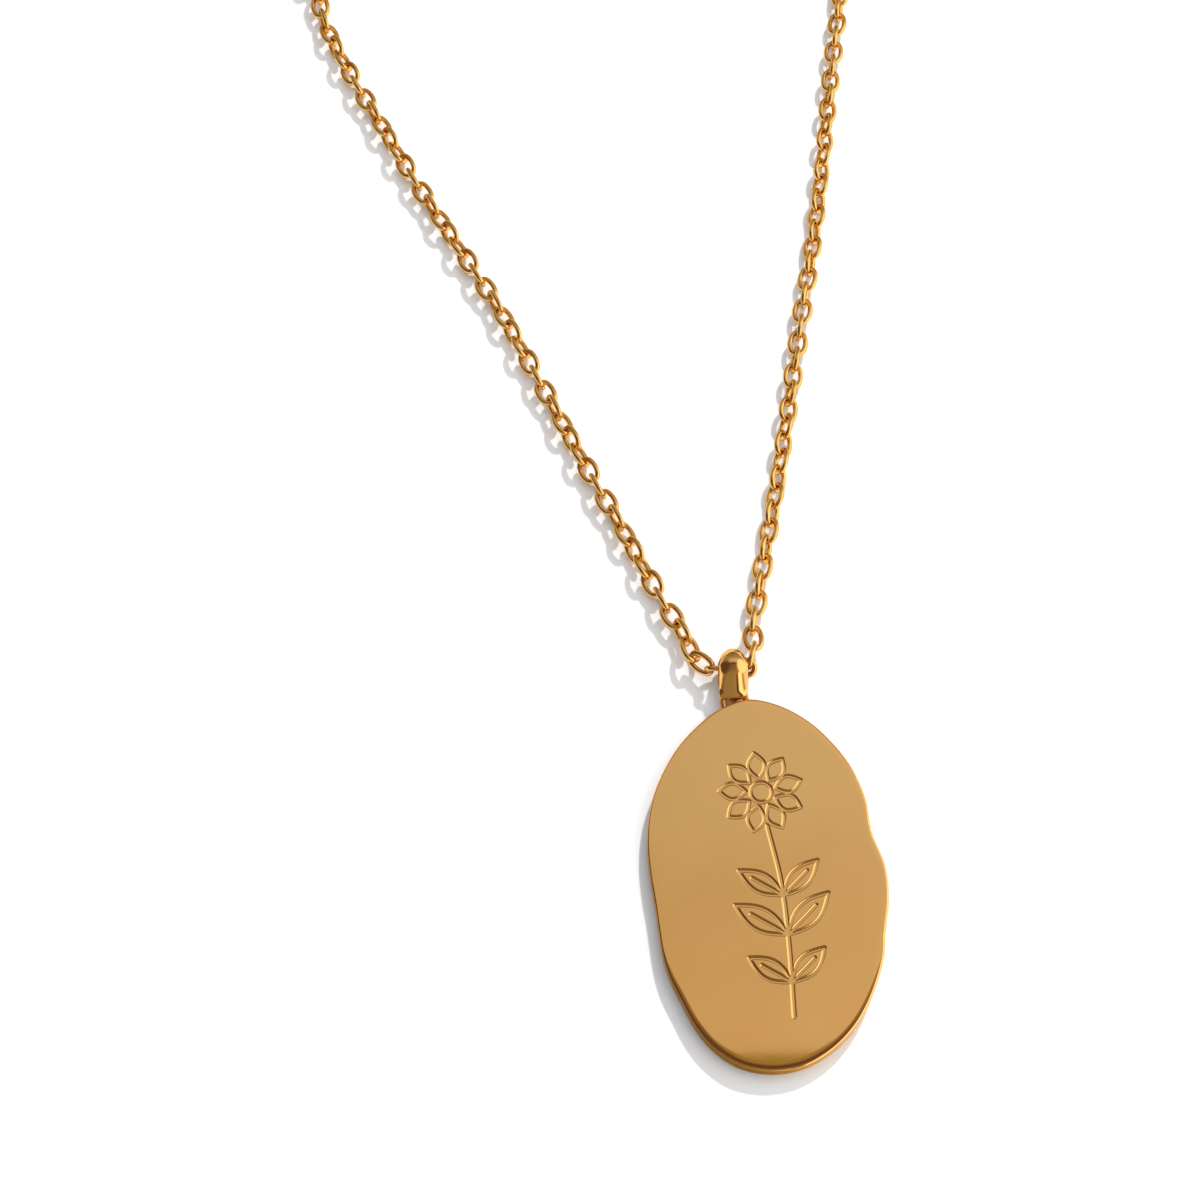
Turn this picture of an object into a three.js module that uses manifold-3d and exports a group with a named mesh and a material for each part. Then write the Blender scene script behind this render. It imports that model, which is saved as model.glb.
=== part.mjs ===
// An engraved plate pendant on a fine cable chain, with a thick bail, a lobster clasp and an
// extender chain. The necklace lies unclasped on a table: the plate on its back, its two strands
// running up from the bail in a V, and the rest of each strand wound into a small flat coil.
// Millimetres, +Z up. The origin is on the plate's back face, +Y points from the plate to the bail.
import * as THREE from "three";
import { mergeVertices } from "three/addons/utils/BufferGeometryUtils.js";
import Module from "manifold-3d";

// Plate
const PLATE_THICKNESS = 1.2;
const PLATE_EDGE_ROUND = 0.16;
const PLATE_WIDTH = 15.8;
const PLATE_HEIGHT = 25.9;

// Eye: a U of wire soldered to the plate's top edge
const EYE_WIRE = 0.44;
const EYE_WIDTH = 2.04;
const EYE_REACH = 0.72; // from the plate's top edge to the middle of the wire
const SOLDER_GAP = 0.03;

// Bail: a closed loop of thick band, narrow and thin at its foot, where the eye holds it
const BAIL_WIDTH = 2.0;
const BAIL_WALL = 0.46;
const BAIL_TOP_RADIUS = 1.3;
const BAIL_FOOT_RADIUS = 0.58;
const BAIL_FOOT_WALL = 0.29;
const BAIL_SPAN = 1.82; // between the centres of its two round ends
const BAIL_NECK = 0.62; // band width where it passes through the eye
const BAIL_EDGE_ROUND = 0.12;
const BAIL_TILT = 24; // degrees up from the table
const BAIL_LEAN = -7; // degrees round Z, from the plate's own +Y

// Cable chain
const LINK_LENGTH = 2.16;
const LINK_WIDTH = 1.5;
const LINK_WIRE = 0.32;
const LINK_PLAY = 0.05; // between the wires of two links that hang on each other
const CHAIN_Z = 0.78; // height of the chain's middle line when it lies on the table
const BAIL_LINK_SHIFT = -0.15; // from the bail's middle to where its two links meet
const RIGHT_TURN = 45; // degrees round the right bail link's end to the next link
const TURN_SLACK = 0.035; // by which that link stands off the wire, because it bends so far

// Coils of the strands' stored ends
const COIL_START = 6.4;
const COIL_PITCH = 1.575;
const COIL_TURNS = 2;
const CHORD = 5.8; // sideways distance from the coil's centre to the strand that crosses it

// Jump rings, extender chain and end drop
const RING_WIDTH = 3.6;
const RING_WIRE = 0.5;
const RING_SLACK = 0.2; // between a jump ring's wire and what lies loose on it
const RING_Z = 0.88; // height of a jump ring's wire, held up by the link that it passes through
const LEFT_TAIL_HEADING = 97; // degrees from +X, of the strand's end
const RIGHT_TAIL_HEADING = 90;
const EXTENDER_LINK_LENGTH = 3.1;
const EXTENDER_WIDTH = 2.4;
const EXTENDER_WIRE = 0.5;
const EXTENDER_RADIUS = 13.6; // of the arc that it lies in, round the right coil
const EXTENDER_TURN = 132; // degrees of that arc
const DROP_RING_WIDTH = 2.6;
const DROP_RING_WIRE = 0.44;
const DROP_RADIUS = 1.4;
const DROP_LENGTH = 5.2;
const DROP_LOOP_RADIUS = 0.66;
const DROP_LOOP_WIRE = 0.4;

// Lobster clasp
const CLASP_THICKNESS = 2.2;
const CLASP_LENGTH = 7.2; // the claw alone
const CLASP_WIDTH = 4.9;
const CLASP_NECK = 1.0;
const CLASP_EYE = 2.2;
const CLASP_EYE_WIRE = 0.46;
const CLASP_WALL = 1.1;
const CLASP_HEADING = 4; // degrees from +X
const LEVER_THICKNESS = 0.68;
const LEVER_PLAY = 0.05;
const TIP_PLAY = 0.16; // at the lever's free end, which swings out a little as it opens
const PIN_DIAMETER = 0.7;
const PIN_PLAY = 0.03;
const SPRING_WIRE = 0.18;

// General clearance between solids that touch face to face
const FACE_GAP = 0.05;

const GOLD = { color: 0xc89b55, roughness: 0.22, metalness: 1 };
const GOLD_DARK = { color: 0xb98a45, roughness: 0.28, metalness: 1 };
const STEEL = { color: 0xb8b6b0, roughness: 0.35, metalness: 1 };

const wasm = await Module();
wasm.setup();

const vec = (x, y, z = 0) => new THREE.Vector3(x, y, z);
const rad = THREE.MathUtils.degToRad;

// A three.js geometry as a manifold-3d solid.
function solid(geometry) {
  const bare = geometry.clone();
  bare.deleteAttribute("normal");
  bare.deleteAttribute("uv");
  const merged = mergeVertices(bare, 1e-5);
  return new wasm.Manifold(
    new wasm.Mesh({
      numProp: 3,
      vertProperties: new Float32Array(merged.attributes.position.array),
      triVerts: new Uint32Array(merged.index.array),
    }),
  );
}

// A manifold-3d solid as a three.js geometry.
function geometryOf(body) {
  const made = body.getMesh();
  const geometry = new THREE.BufferGeometry();
  geometry.setAttribute("position", new THREE.BufferAttribute(made.vertProperties, 3));
  geometry.setIndex(new THREE.BufferAttribute(made.triVerts, 1));
  return geometry;
}

const group = new THREE.Group();

function addMesh(name, geometry, look, parent = group) {
  const mesh = new THREE.Mesh(geometry, new THREE.MeshStandardMaterial(look));
  mesh.name = name;
  parent.add(mesh);
  return mesh;
}

// A box between two corners.
function boxBetween(low, high) {
  const size = high.clone().sub(low);
  const middle = high.clone().add(low).multiplyScalar(0.5);
  return new THREE.BoxGeometry(size.x, size.y, size.z).translate(middle.x, middle.y, middle.z);
}

// ---------------------------------------------------------------- plate

// The uneven pebble outline, anticlockwise from the top, as shares of half the width and height.
const PLATE_OUTLINE = [
  [0.08, 1.0], [-0.19, 0.958], [-0.41, 0.873], [-0.595, 0.77], [-0.74, 0.655], [-0.86, 0.525],
  [-0.935, 0.395], [-0.98, 0.255], [-0.995, 0.1], [-0.992, -0.06], [-0.995, -0.2], [-0.993, -0.33],
  [-0.962, -0.455], [-0.9, -0.575], [-0.82, -0.715], [-0.69, -0.845], [-0.5, -0.945], [-0.25, -0.995],
  [0.02, -0.99], [0.27, -0.93], [0.47, -0.84], [0.62, -0.735], [0.755, -0.6], [0.845, -0.475],
  [0.873, -0.4], [0.91, -0.325], [0.962, -0.22], [0.995, -0.1], [0.995, 0.0], [0.965, 0.09],
  [0.943, 0.16], [0.942, 0.235], [0.95, 0.33], [0.925, 0.44], [0.865, 0.565], [0.76, 0.69],
  [0.62, 0.81], [0.44, 0.91], [0.25, 0.975],
];

function plateCurve() {
  const points = PLATE_OUTLINE.map(([x, y]) => vec((x * PLATE_WIDTH) / 2, (y * PLATE_HEIGHT) / 2));
  return new THREE.CatmullRomCurve3(points, true, "centripetal");
}

function plateShape() {
  return new THREE.Shape(plateCurve().getPoints(132).slice(0, -1).map((p) => new THREE.Vector2(p.x, p.y)));
}

function plateGeometry() {
  return new THREE.ExtrudeGeometry(plateShape(), {
    depth: PLATE_THICKNESS - 2 * PLATE_EDGE_ROUND,
    bevelThickness: PLATE_EDGE_ROUND,
    bevelSize: PLATE_EDGE_ROUND,
    bevelOffset: -PLATE_EDGE_ROUND,
    bevelSegments: 2,
  }).translate(0, 0, PLATE_EDGE_ROUND);
}

addMesh("plate", plateGeometry(), GOLD);

// ---------------------------------------------------------------- eye

const PLATE_TOP = PLATE_HEIGHT / 2;
const EYE_CENTRE = vec(-0.1, PLATE_TOP + EYE_REACH, PLATE_THICKNESS / 2);

// A U of wire with its feet trimmed to follow the plate's edge.
function eyeGeometry() {
  const half = (EYE_WIDTH - EYE_WIRE) / 2;
  const leg = [
    vec(half, -2.2),
    vec(half, -1.3),
    vec(half, -0.52),
    vec(half * 0.86, -0.2),
    vec(half * 0.5, -0.02),
  ];
  const mirrored = leg.map((p) => vec(-p.x, p.y));
  const path = new THREE.CatmullRomCurve3([...mirrored, vec(0, 0), ...leg.reverse()], false, "centripetal");
  const wire = new THREE.Shape().absarc(0, 0, EYE_WIRE / 2, 0, Math.PI * 2);
  const bent = new THREE.ExtrudeGeometry(wire, { steps: 24, curveSegments: 5, extrudePath: path });
  bent.translate(EYE_CENTRE.x, EYE_CENTRE.y, EYE_CENTRE.z);
  const cutter = new THREE.ExtrudeGeometry(plateShape(), { depth: 4, bevelEnabled: false });
  cutter.translate(0, SOLDER_GAP, PLATE_THICKNESS / 2 - 2);
  return geometryOf(solid(bent).subtract(solid(cutter)));
}

addMesh("plate_eye", eyeGeometry(), GOLD_DARK);

// ---------------------------------------------------------------- bail

const bailGroup = new THREE.Group();
bailGroup.position.copy(EYE_CENTRE);
bailGroup.rotation.set(rad(BAIL_TILT), 0, rad(BAIL_LEAN), "ZXY");
group.add(bailGroup);
bailGroup.updateMatrixWorld(true);

// The outline round the foot's circle and the top's circle, from the foot along X to the top.
function bailLoop(foot, top) {
  const spread = Math.asin((top - foot) / BAIL_SPAN);
  const loop = new THREE.Path();
  loop.absarc(BAIL_SPAN, 0, top, -Math.PI / 2 - spread, Math.PI / 2 + spread);
  loop.absarc(0, 0, foot, Math.PI / 2 + spread, (Math.PI * 3) / 2 - spread);
  return loop.getPoints(13);
}

// The band, extruded across its width, with its foot narrowed so that it clears the eye's legs.
function bailGeometry() {
  const round = BAIL_EDGE_ROUND;
  const shape = new THREE.Shape(bailLoop(BAIL_FOOT_RADIUS - round, BAIL_TOP_RADIUS - round));
  const footHole = BAIL_FOOT_RADIUS - BAIL_FOOT_WALL + round;
  const topHole = BAIL_TOP_RADIUS - BAIL_WALL + round;
  shape.holes.push(new THREE.Path(bailLoop(footHole, topHole)));
  const band = new THREE.ExtrudeGeometry(shape, {
    depth: BAIL_WIDTH - 2 * round,
    bevelThickness: round,
    bevelSize: round,
    bevelSegments: 2,
  });
  band.translate(0, 0, -BAIL_WIDTH / 2 + round);
  // the outline was drawn along X and through Z: turn it to run along Y with its band across X
  band.applyMatrix4(new THREE.Matrix4().makeBasis(vec(0, 1, 0), vec(0, 0, 1), vec(1, 0, 0)));
  let body = solid(band);
  const below = -BAIL_FOOT_RADIUS - 0.5;
  for (const side of [-1, 1]) {
    const near = (side * BAIL_NECK) / 2;
    const far = side * (BAIL_WIDTH / 2 + 0.5);
    const [low, high] = [Math.min(near, far), Math.max(near, far)];
    const back = boxBetween(vec(low, below, below), vec(high, 0.46, EYE_WIRE / 2 + FACE_GAP));
    const front = boxBetween(vec(low, below, below), vec(high, 0.02, -below));
    body = body.subtract(solid(back)).subtract(solid(front));
  }
  return geometryOf(body);
}

addMesh("bail", bailGeometry(), GOLD, bailGroup);

// ---------------------------------------------------------------- chain

// A link is a ring of wire drawn out along X. Its flat side faces Z.
function linkGeometry(length, width, wire, round = 16, sides = 6) {
  const radius = (width - wire) / 2;
  const stretch = (length - width) / 2;
  const geometry = new THREE.TorusGeometry(radius, wire / 2, sides, round);
  const at = geometry.attributes.position;
  for (let i = 0; i < at.count; i++) {
    const along = Math.atan2(at.getY(i), at.getX(i));
    const share = THREE.MathUtils.clamp(1.4 * Math.cos(along), -1, 1);
    at.setX(i, at.getX(i) + stretch * share);
  }
  return geometry;
}

// Places a mesh so that its X runs from one contact to the next. Roll 0 lays a link flat, and 90
// stands it on its edge.
function placeBetween(mesh, from, to, roll) {
  const along = to.clone().sub(from).normalize();
  const side = vec(0, 0, 1).cross(along).normalize();
  const up = along.clone().cross(side);
  const across = side.multiplyScalar(Math.cos(rad(roll))).addScaledVector(up, Math.sin(rad(roll)));
  const face = along.clone().cross(across);
  mesh.quaternion.setFromRotationMatrix(new THREE.Matrix4().makeBasis(along, across, face));
  mesh.position.copy(from).add(to).multiplyScalar(0.5);
}

const LINK_PITCH = LINK_LENGTH - 2 * LINK_WIRE - LINK_PLAY;
const LINK_END = LINK_WIRE + LINK_PLAY / 2; // from a contact to the outer end of a link there

// The bail turns on the two links that run through its round top, along its own X.
bailGroup.updateMatrixWorld(true);
const bailPoint = (x, y) => bailGroup.localToWorld(vec(x, y, 0));
const MEETING = bailPoint(BAIL_LINK_SHIFT, BAIL_SPAN);
const LEFT_START = bailPoint(BAIL_LINK_SHIFT - LINK_PITCH, BAIL_SPAN);
const RIGHT_END = bailPoint(BAIL_LINK_SHIFT + LINK_PITCH, BAIL_SPAN);

// The right strand turns off so sharply that it hangs part of the way round its bail link's end.
const CONTACT_RADIUS = (LINK_WIDTH - 2 * LINK_WIRE - LINK_PLAY) / 2;
const turnOff = rad(RIGHT_TURN);
const RIGHT_START = bailPoint(
  BAIL_LINK_SHIFT + LINK_PITCH - CONTACT_RADIUS + (CONTACT_RADIUS - TURN_SLACK) * Math.cos(turnOff),
  BAIL_SPAN + (CONTACT_RADIUS - TURN_SLACK) * Math.sin(turnOff),
);

// The strands' routes, outwards from the bail
const LEFT_ROUTE = [
  LEFT_START,
  vec(-2.7, 16.8, 1.05),
  vec(-2.72, 18.2, 0.96),
  vec(-3.2, 19.55, 0.82),
  vec(-3.75, 20.9, CHAIN_Z),
  vec(-4.6, 23.4, CHAIN_Z),
  vec(-6.0, 27.7, CHAIN_Z),
  vec(-7.95, 33.4, CHAIN_Z),
  vec(-10.0, 39.8, CHAIN_Z),
  vec(-12.4, 47.1, CHAIN_Z),
  vec(-15.1, 53.9, CHAIN_Z),
  vec(-17.3, 59.3, CHAIN_Z),
  vec(-19.6, 65.6, CHAIN_Z),
  vec(-21.9, 72.0, CHAIN_Z),
  vec(-23.4, 77.6, CHAIN_Z),
];
const RIGHT_ROUTE = [
  RIGHT_START,
  vec(1.9, 16.9, 1.25),
  vec(2.0, 18.3, 0.94),
  vec(2.42, 19.6, 0.82),
  vec(2.86, 20.8, CHAIN_Z),
  vec(3.7, 23.4, CHAIN_Z),
  vec(5.2, 27.8, CHAIN_Z),
  vec(6.75, 32.6, CHAIN_Z),
  vec(8.7, 38.9, CHAIN_Z),
  vec(10.3, 44.1, CHAIN_Z),
  vec(12.1, 49.7, CHAIN_Z),
  vec(14.2, 57.0, CHAIN_Z),
  vec(16.5, 65.6, CHAIN_Z),
  vec(18.7, 73.4, CHAIN_Z),
  vec(19.2, 75.5, CHAIN_Z),
];

// Turn of each single link about the strand, outwards from the bail. The first is in the bail.
const LEFT_ROLLS = [90 - BAIL_TILT, -50, 30, -70];
const RIGHT_ROLLS = [BAIL_TILT, -88, 0, 85];

// The single links beside the bail. Returns the contact where the strand's tube takes over.
function addLinks(side, bailEnd, route, rolls) {
  const addLink = (name, from, to, roll) => {
    const link = addMesh(name, linkGeometry(LINK_LENGTH, LINK_WIDTH, LINK_WIRE), GOLD);
    placeBetween(link, from, to, roll);
  };
  addLink(`bail_link_${side}`, MEETING, bailEnd, rolls[0]);
  let contact = route[0];
  for (let i = 1; i < rolls.length; i++) {
    const next = route[i].clone().sub(contact).setLength(LINK_PITCH).add(contact);
    addLink(`${side}_link_${i}`, contact, next, rolls[i]);
    contact = next;
  }
  return contact;
}

const leftEnd = addLinks("left", LEFT_START, LEFT_ROUTE, LEFT_ROLLS);
const rightEnd = addLinks("right", RIGHT_END, RIGHT_ROUTE, RIGHT_ROLLS);

// ---------------------------------------------------------------- stored strands

// An eight-sided tube along points.
function tube(points, width, steps) {
  const path = new THREE.CatmullRomCurve3(points, false, "centripetal");
  const section = new THREE.Shape().absarc(0, 0, width / 2, 0, Math.PI * 2);
  return new THREE.ExtrudeGeometry(section, { steps, curveSegments: 4, extrudePath: path });
}

// A flat ring of rectangular section, standing on Z = 0.
function flatRing(inner, outer, height) {
  const corners = [
    [inner, 0],
    [outer, 0],
    [outer, height],
    [inner, height],
    [inner, 0],
  ];
  return new THREE.LatheGeometry(corners.map(([x, y]) => new THREE.Vector2(x, y)), 32).rotateX(Math.PI / 2);
}

const COIL_END = COIL_START + COIL_TURNS * COIL_PITCH;
const COIL_OUTER = COIL_END + LINK_WIDTH / 2;
const CHAIN_LOW = CHAIN_Z - LINK_WIDTH / 2;
const CROSSING_Z = CHAIN_Z + LINK_WIDTH + 0.16;

// The strand climbs over the coil's turns on its way to the inside. sign is 1 where it meets the
// coil's right side, -1 for its left side.
function crossing(centre, sign) {
  const chord = centre.x + sign * CHORD;
  return [
    vec(chord + sign * 0.05, centre.y - 11.3, 1.25),
    vec(chord + sign * 0.1, centre.y - 9.6, 2.25),
    vec(chord + sign * 0.15, centre.y - 7.9, CROSSING_Z),
    vec(chord + sign * 0.2, centre.y - 6.1, CROSSING_Z),
    vec(chord + sign * 0.35, centre.y - 4.2, CROSSING_Z),
  ];
}

const LEFT_COIL = vec(LEFT_ROUTE.at(-1).x - CHORD, 92.3);
const RIGHT_COIL = vec(RIGHT_ROUTE.at(-1).x + CHORD, 88.6);

// A strand's tube runs from its last single link to the top of its coil.
function addStrand(side, sign, route, end, centre) {
  const next = route.filter((p) => p.y > end.y + 1.2);
  const start = next[0].clone().sub(end).setLength(LINK_END + FACE_GAP).add(end);
  const points = [start, ...next, ...crossing(centre, sign)];
  addMesh(`${side}_strand`, tube(points, LINK_WIDTH, 24), GOLD);
  const ring = flatRing(COIL_START - LINK_WIDTH / 2, COIL_OUTER, LINK_WIDTH);
  addMesh(`${side}_coil`, ring, GOLD).position.set(centre.x, centre.y, CHAIN_LOW);
}

addStrand("left", 1, LEFT_ROUTE, leftEnd, LEFT_COIL);
addStrand("right", -1, RIGHT_ROUTE, rightEnd, RIGHT_COIL);

// ---------------------------------------------------------------- strand ends and jump rings

const RING_REACH = (RING_WIDTH - RING_WIRE) / 2;
const bearing = (degrees) => vec(Math.cos(rad(degrees)), Math.sin(rad(degrees)));

// From the middle of the wire that a link or ring hangs on to its own middle.
const hang = (length, wire, heldBy, slack = LINK_PLAY) => {
  return (length - wire) / 2 - (wire + heldBy) / 2 - slack;
};

// A link on edge, level and heading out. Returns the middle of its far wire.
function addEdgeLink(name, middle, out, length, width, wire) {
  const link = addMesh(name, linkGeometry(length, width, wire), GOLD);
  placeBetween(link, middle, middle.clone().add(out), 90);
  link.position.copy(middle);
  return middle.clone().addScaledVector(out, (length - wire) / 2);
}

// The last stretch of each strand, from the coil's side to its jump ring. It starts beside the
// coil's end, heading +Y, and bends to a heading in degrees from +X. Returns the ring's middle.
function addTail(side, sign, centre, heading, name) {
  const out = bearing(heading);
  const leave = vec(centre.x + sign * (COIL_OUTER + LINK_WIDTH / 2 + FACE_GAP), centre.y + 1.4, CHAIN_Z);
  const mid = leave.clone().add(vec(sign * 0.2, 1.4));
  const end = mid.clone().addScaledVector(out, 1.2);
  addMesh(`${side}_tail`, tube([leave, mid, end], LINK_WIDTH, 3), GOLD);
  const middle = end.clone().addScaledVector(out, FACE_GAP + LINK_LENGTH / 2);
  const farWire = addEdgeLink(`${side}_end_link`, middle, out, LINK_LENGTH, LINK_WIDTH, LINK_WIRE);
  const ring = addMesh(name, new THREE.TorusGeometry(RING_REACH, RING_WIRE / 2, 6, 20), GOLD_DARK);
  ring.position.copy(farWire).addScaledVector(out, hang(RING_WIDTH, RING_WIRE, LINK_WIRE)).setZ(RING_Z);
  return ring.position;
}

const claspRing = addTail("left", 1, LEFT_COIL, LEFT_TAIL_HEADING, "clasp_ring");
const extenderRing = addTail("right", -1, RIGHT_COIL, RIGHT_TAIL_HEADING, "extender_ring");

// ---------------------------------------------------------------- lobster clasp

// The clasp lies with its claw level. Its own X runs from the jump ring's wire to the hook's tip.
const claspGroup = new THREE.Group();
claspGroup.rotation.z = rad(CLASP_HEADING);
claspGroup.position
  .copy(claspRing)
  .addScaledVector(bearing(CLASP_HEADING), RING_REACH)
  .setZ(CLASP_THICKNESS / 2);
group.add(claspGroup);

const EYE_RADIUS = (CLASP_EYE - CLASP_EYE_WIRE) / 2;
const EYE_MIDDLE = hang(CLASP_EYE, CLASP_EYE_WIRE, RING_WIRE, RING_SLACK);
const NECK_START = EYE_MIDDLE + EYE_RADIUS;
const CLAW_START = NECK_START + CLASP_NECK;
const CLAW_MIDDLE = CLAW_START + CLASP_LENGTH / 2;
const PIVOT = vec(CLAW_START + 1.3, 0.95);
const GATE_START = CLAW_START + 2.3;
const GATE_END = CLAW_START + 5.6;
const SLOT = LEVER_THICKNESS + SPRING_WIRE + 3 * LEVER_PLAY;

// A level slab of a shape, centred on Z = 0, with rounded edges where round is over 0.
function slab(shape, height, round) {
  return new THREE.ExtrudeGeometry(shape, {
    depth: height - 2 * round,
    bevelEnabled: round > 0,
    bevelThickness: round,
    bevelSize: round,
    bevelOffset: -round,
    bevelSegments: 2,
    curveSegments: 16,
  }).translate(0, 0, -height / 2 + round);
}

function clawShape(inset) {
  const [rx, ry] = [CLASP_LENGTH / 2 - inset, CLASP_WIDTH / 2 - inset];
  return new THREE.Shape().absellipse(CLAW_MIDDLE, 0, rx, ry, 0, Math.PI * 2);
}

function holeShape() {
  const [rx, ry] = [CLASP_LENGTH / 2 - CLASP_WALL - 0.15, CLASP_WIDTH / 2 - CLASP_WALL];
  return new THREE.Shape().absellipse(CLAW_MIDDLE + 0.35, -0.05, rx, ry, 0, Math.PI * 2);
}

// A round bar that stands on the claw's plane.
function bar(radius, height, x, y, sides = 14) {
  return new THREE.CylinderGeometry(radius, radius, height, sides).rotateX(Math.PI / 2).translate(x, y, 0);
}

function claspBody() {
  const tall = CLASP_THICKNESS;
  const neckLength = CLASP_NECK + 0.6;
  const neck = new THREE.CylinderGeometry(0.74, 0.5, neckLength, 14);
  neck.rotateZ(-Math.PI / 2).translate(NECK_START + neckLength / 2, 0, 0);
  const eye = new THREE.TorusGeometry(EYE_RADIUS, CLASP_EYE_WIRE / 2, 8, 20);
  eye.rotateX(Math.PI / 2).translate(EYE_MIDDLE, 0, 0);
  const opening = boxBetween(vec(GATE_START, 0.6, -tall), vec(GATE_END, CLASP_WIDTH, tall));
  const rootSlot = boxBetween(
    vec(PIVOT.x - 0.85, PIVOT.y - 0.75, -SLOT / 2),
    vec(GATE_START + 0.1, CLASP_WIDTH, SLOT / 2),
  );
  let body = solid(slab(clawShape(0), tall, 0.4)).add(solid(neck)).add(solid(eye));
  const pinBore = bar(PIN_DIAMETER / 2 + PIN_PLAY, tall + 1, PIVOT.x, PIVOT.y);
  for (const cut of [slab(holeShape(), tall + 1, 0), opening, rootSlot, pinBore]) {
    body = body.subtract(solid(cut));
  }
  return geometryOf(body);
}

// The lever fills the claw's opening, turns on the pin and swings into the claw.
function claspLever() {
  const gate = solid(slab(clawShape(0.06), LEVER_THICKNESS, 0))
    .subtract(solid(slab(holeShape(), 4, 0)))
    .intersect(solid(boxBetween(vec(GATE_START + LEVER_PLAY, 0.6, -2), vec(GATE_END - TIP_PLAY, 4, 2))));
  const arm = boxBetween(
    vec(PIVOT.x, PIVOT.y - 0.3, -LEVER_THICKNESS / 2),
    vec(GATE_START + 0.6, PIVOT.y + 0.62, LEVER_THICKNESS / 2),
  );
  const nub = bar(0.42, LEVER_THICKNESS, GATE_START + 0.62, CLASP_WIDTH / 2 + 0.12);
  const lever = gate
    .add(solid(bar(0.62, LEVER_THICKNESS, PIVOT.x, PIVOT.y)))
    .add(solid(arm))
    .add(solid(nub))
    .subtract(solid(bar(PIN_DIAMETER / 2 + PIN_PLAY, 3, PIVOT.x, PIVOT.y)));
  return geometryOf(lever).translate(0, 0, -SLOT / 2 + LEVER_PLAY + LEVER_THICKNESS / 2);
}

addMesh("clasp_body", claspBody(), GOLD, claspGroup);
addMesh("clasp_lever", claspLever(), GOLD_DARK, claspGroup);
addMesh("clasp_pin", bar(PIN_DIAMETER / 2, CLASP_THICKNESS - 0.1, PIVOT.x, PIVOT.y), STEEL, claspGroup);

// The return spring is wound round the pin beside the lever.
const spring = new THREE.TorusGeometry(PIN_DIAMETER / 2 + PIN_PLAY + SPRING_WIRE / 2, SPRING_WIRE / 2, 6, 14);
spring.translate(PIVOT.x, PIVOT.y, SLOT / 2 - SPRING_WIRE / 2 - LEVER_PLAY / 2);
addMesh("clasp_spring", spring, STEEL, claspGroup);

// ---------------------------------------------------------------- extender

// The extender lies in an arc round the right coil, then runs towards -Y to its drop.
const EXTENDER_Z = EXTENDER_WIDTH / 2;
const ringAngle = Math.atan2(extenderRing.y - RIGHT_COIL.y, extenderRing.x - RIGHT_COIL.x);
const leaving = vec(Math.sin(ringAngle), -Math.cos(ringAngle));
const firstReach = RING_REACH + hang(EXTENDER_LINK_LENGTH, EXTENDER_WIRE, RING_WIRE, RING_SLACK);
const firstWire = addEdgeLink(
  "extender_first_link",
  extenderRing.clone().addScaledVector(leaving, firstReach).setZ(EXTENDER_Z),
  leaving,
  EXTENDER_LINK_LENGTH,
  EXTENDER_WIDTH,
  EXTENDER_WIRE,
);
const tubeStart = firstWire.clone().sub(RIGHT_COIL);
const arcStart = Math.atan2(tubeStart.y, tubeStart.x) - (EXTENDER_WIRE / 2 + FACE_GAP) / EXTENDER_RADIUS;
const arcPoints = [];
for (let i = 0; i <= 12; i++) {
  const angle = arcStart - (rad(EXTENDER_TURN) * i) / 12;
  const out = vec(Math.cos(angle), Math.sin(angle)).multiplyScalar(EXTENDER_RADIUS);
  arcPoints.push(out.add(RIGHT_COIL).setZ(EXTENDER_Z));
}
addMesh("extender_chain", tube(arcPoints, EXTENDER_WIDTH, 12), GOLD);

// The last links of the extender are free to swing: flat, on edge, flat.
const EXTENDER_PITCH = EXTENDER_LINK_LENGTH - 2 * EXTENDER_WIRE - LINK_PLAY;
const EXTENDER_END = EXTENDER_WIRE + LINK_PLAY / 2;
const heading = bearing(-93);
const along = (from, distance) => from.clone().addScaledVector(heading, distance);
let contact = along(arcPoints.at(-1), EXTENDER_END + FACE_GAP);
[0, 90, 0].forEach((roll, i) => {
  const next = along(contact, EXTENDER_PITCH);
  const geometry = linkGeometry(EXTENDER_LINK_LENGTH, EXTENDER_WIDTH, EXTENDER_WIRE);
  placeBetween(addMesh(`extender_link_${i + 1}`, geometry, GOLD), contact, next, roll);
  contact = next;
});

// A plain drop hangs on the last link by a ring that stands on edge.
const dropRingReach = (DROP_RING_WIDTH - DROP_RING_WIRE) / 2;
const dropRingGeometry = new THREE.TorusGeometry(dropRingReach, DROP_RING_WIRE / 2, 6, 18);
const dropRing = addMesh("drop_ring", dropRingGeometry, GOLD_DARK);
const ringStart = along(contact, -(LINK_PLAY + DROP_RING_WIRE) / 2);
const ringEnd = along(ringStart, 2 * dropRingReach);
placeBetween(dropRing, ringStart, ringEnd, 90);

// A teardrop turned round X, with its loop at X = 0.
function dropGeometry() {
  const profile = [new THREE.Vector2(0, DROP_LOOP_RADIUS)];
  const steps = 10;
  for (let i = 1; i < steps; i++) {
    const share = i / steps;
    const swell = Math.min(1, Math.sin(Math.PI * share) * (0.62 + 0.5 * share));
    profile.push(new THREE.Vector2(DROP_RADIUS * swell, DROP_LOOP_RADIUS + DROP_LENGTH * share));
  }
  profile.push(new THREE.Vector2(0, DROP_LOOP_RADIUS + DROP_LENGTH));
  const body = new THREE.LatheGeometry(profile, 16).rotateZ(-Math.PI / 2);
  const loop = new THREE.TorusGeometry(DROP_LOOP_RADIUS, DROP_LOOP_WIRE / 2, 6, 14);
  return geometryOf(solid(body).add(solid(loop)));
}

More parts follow.
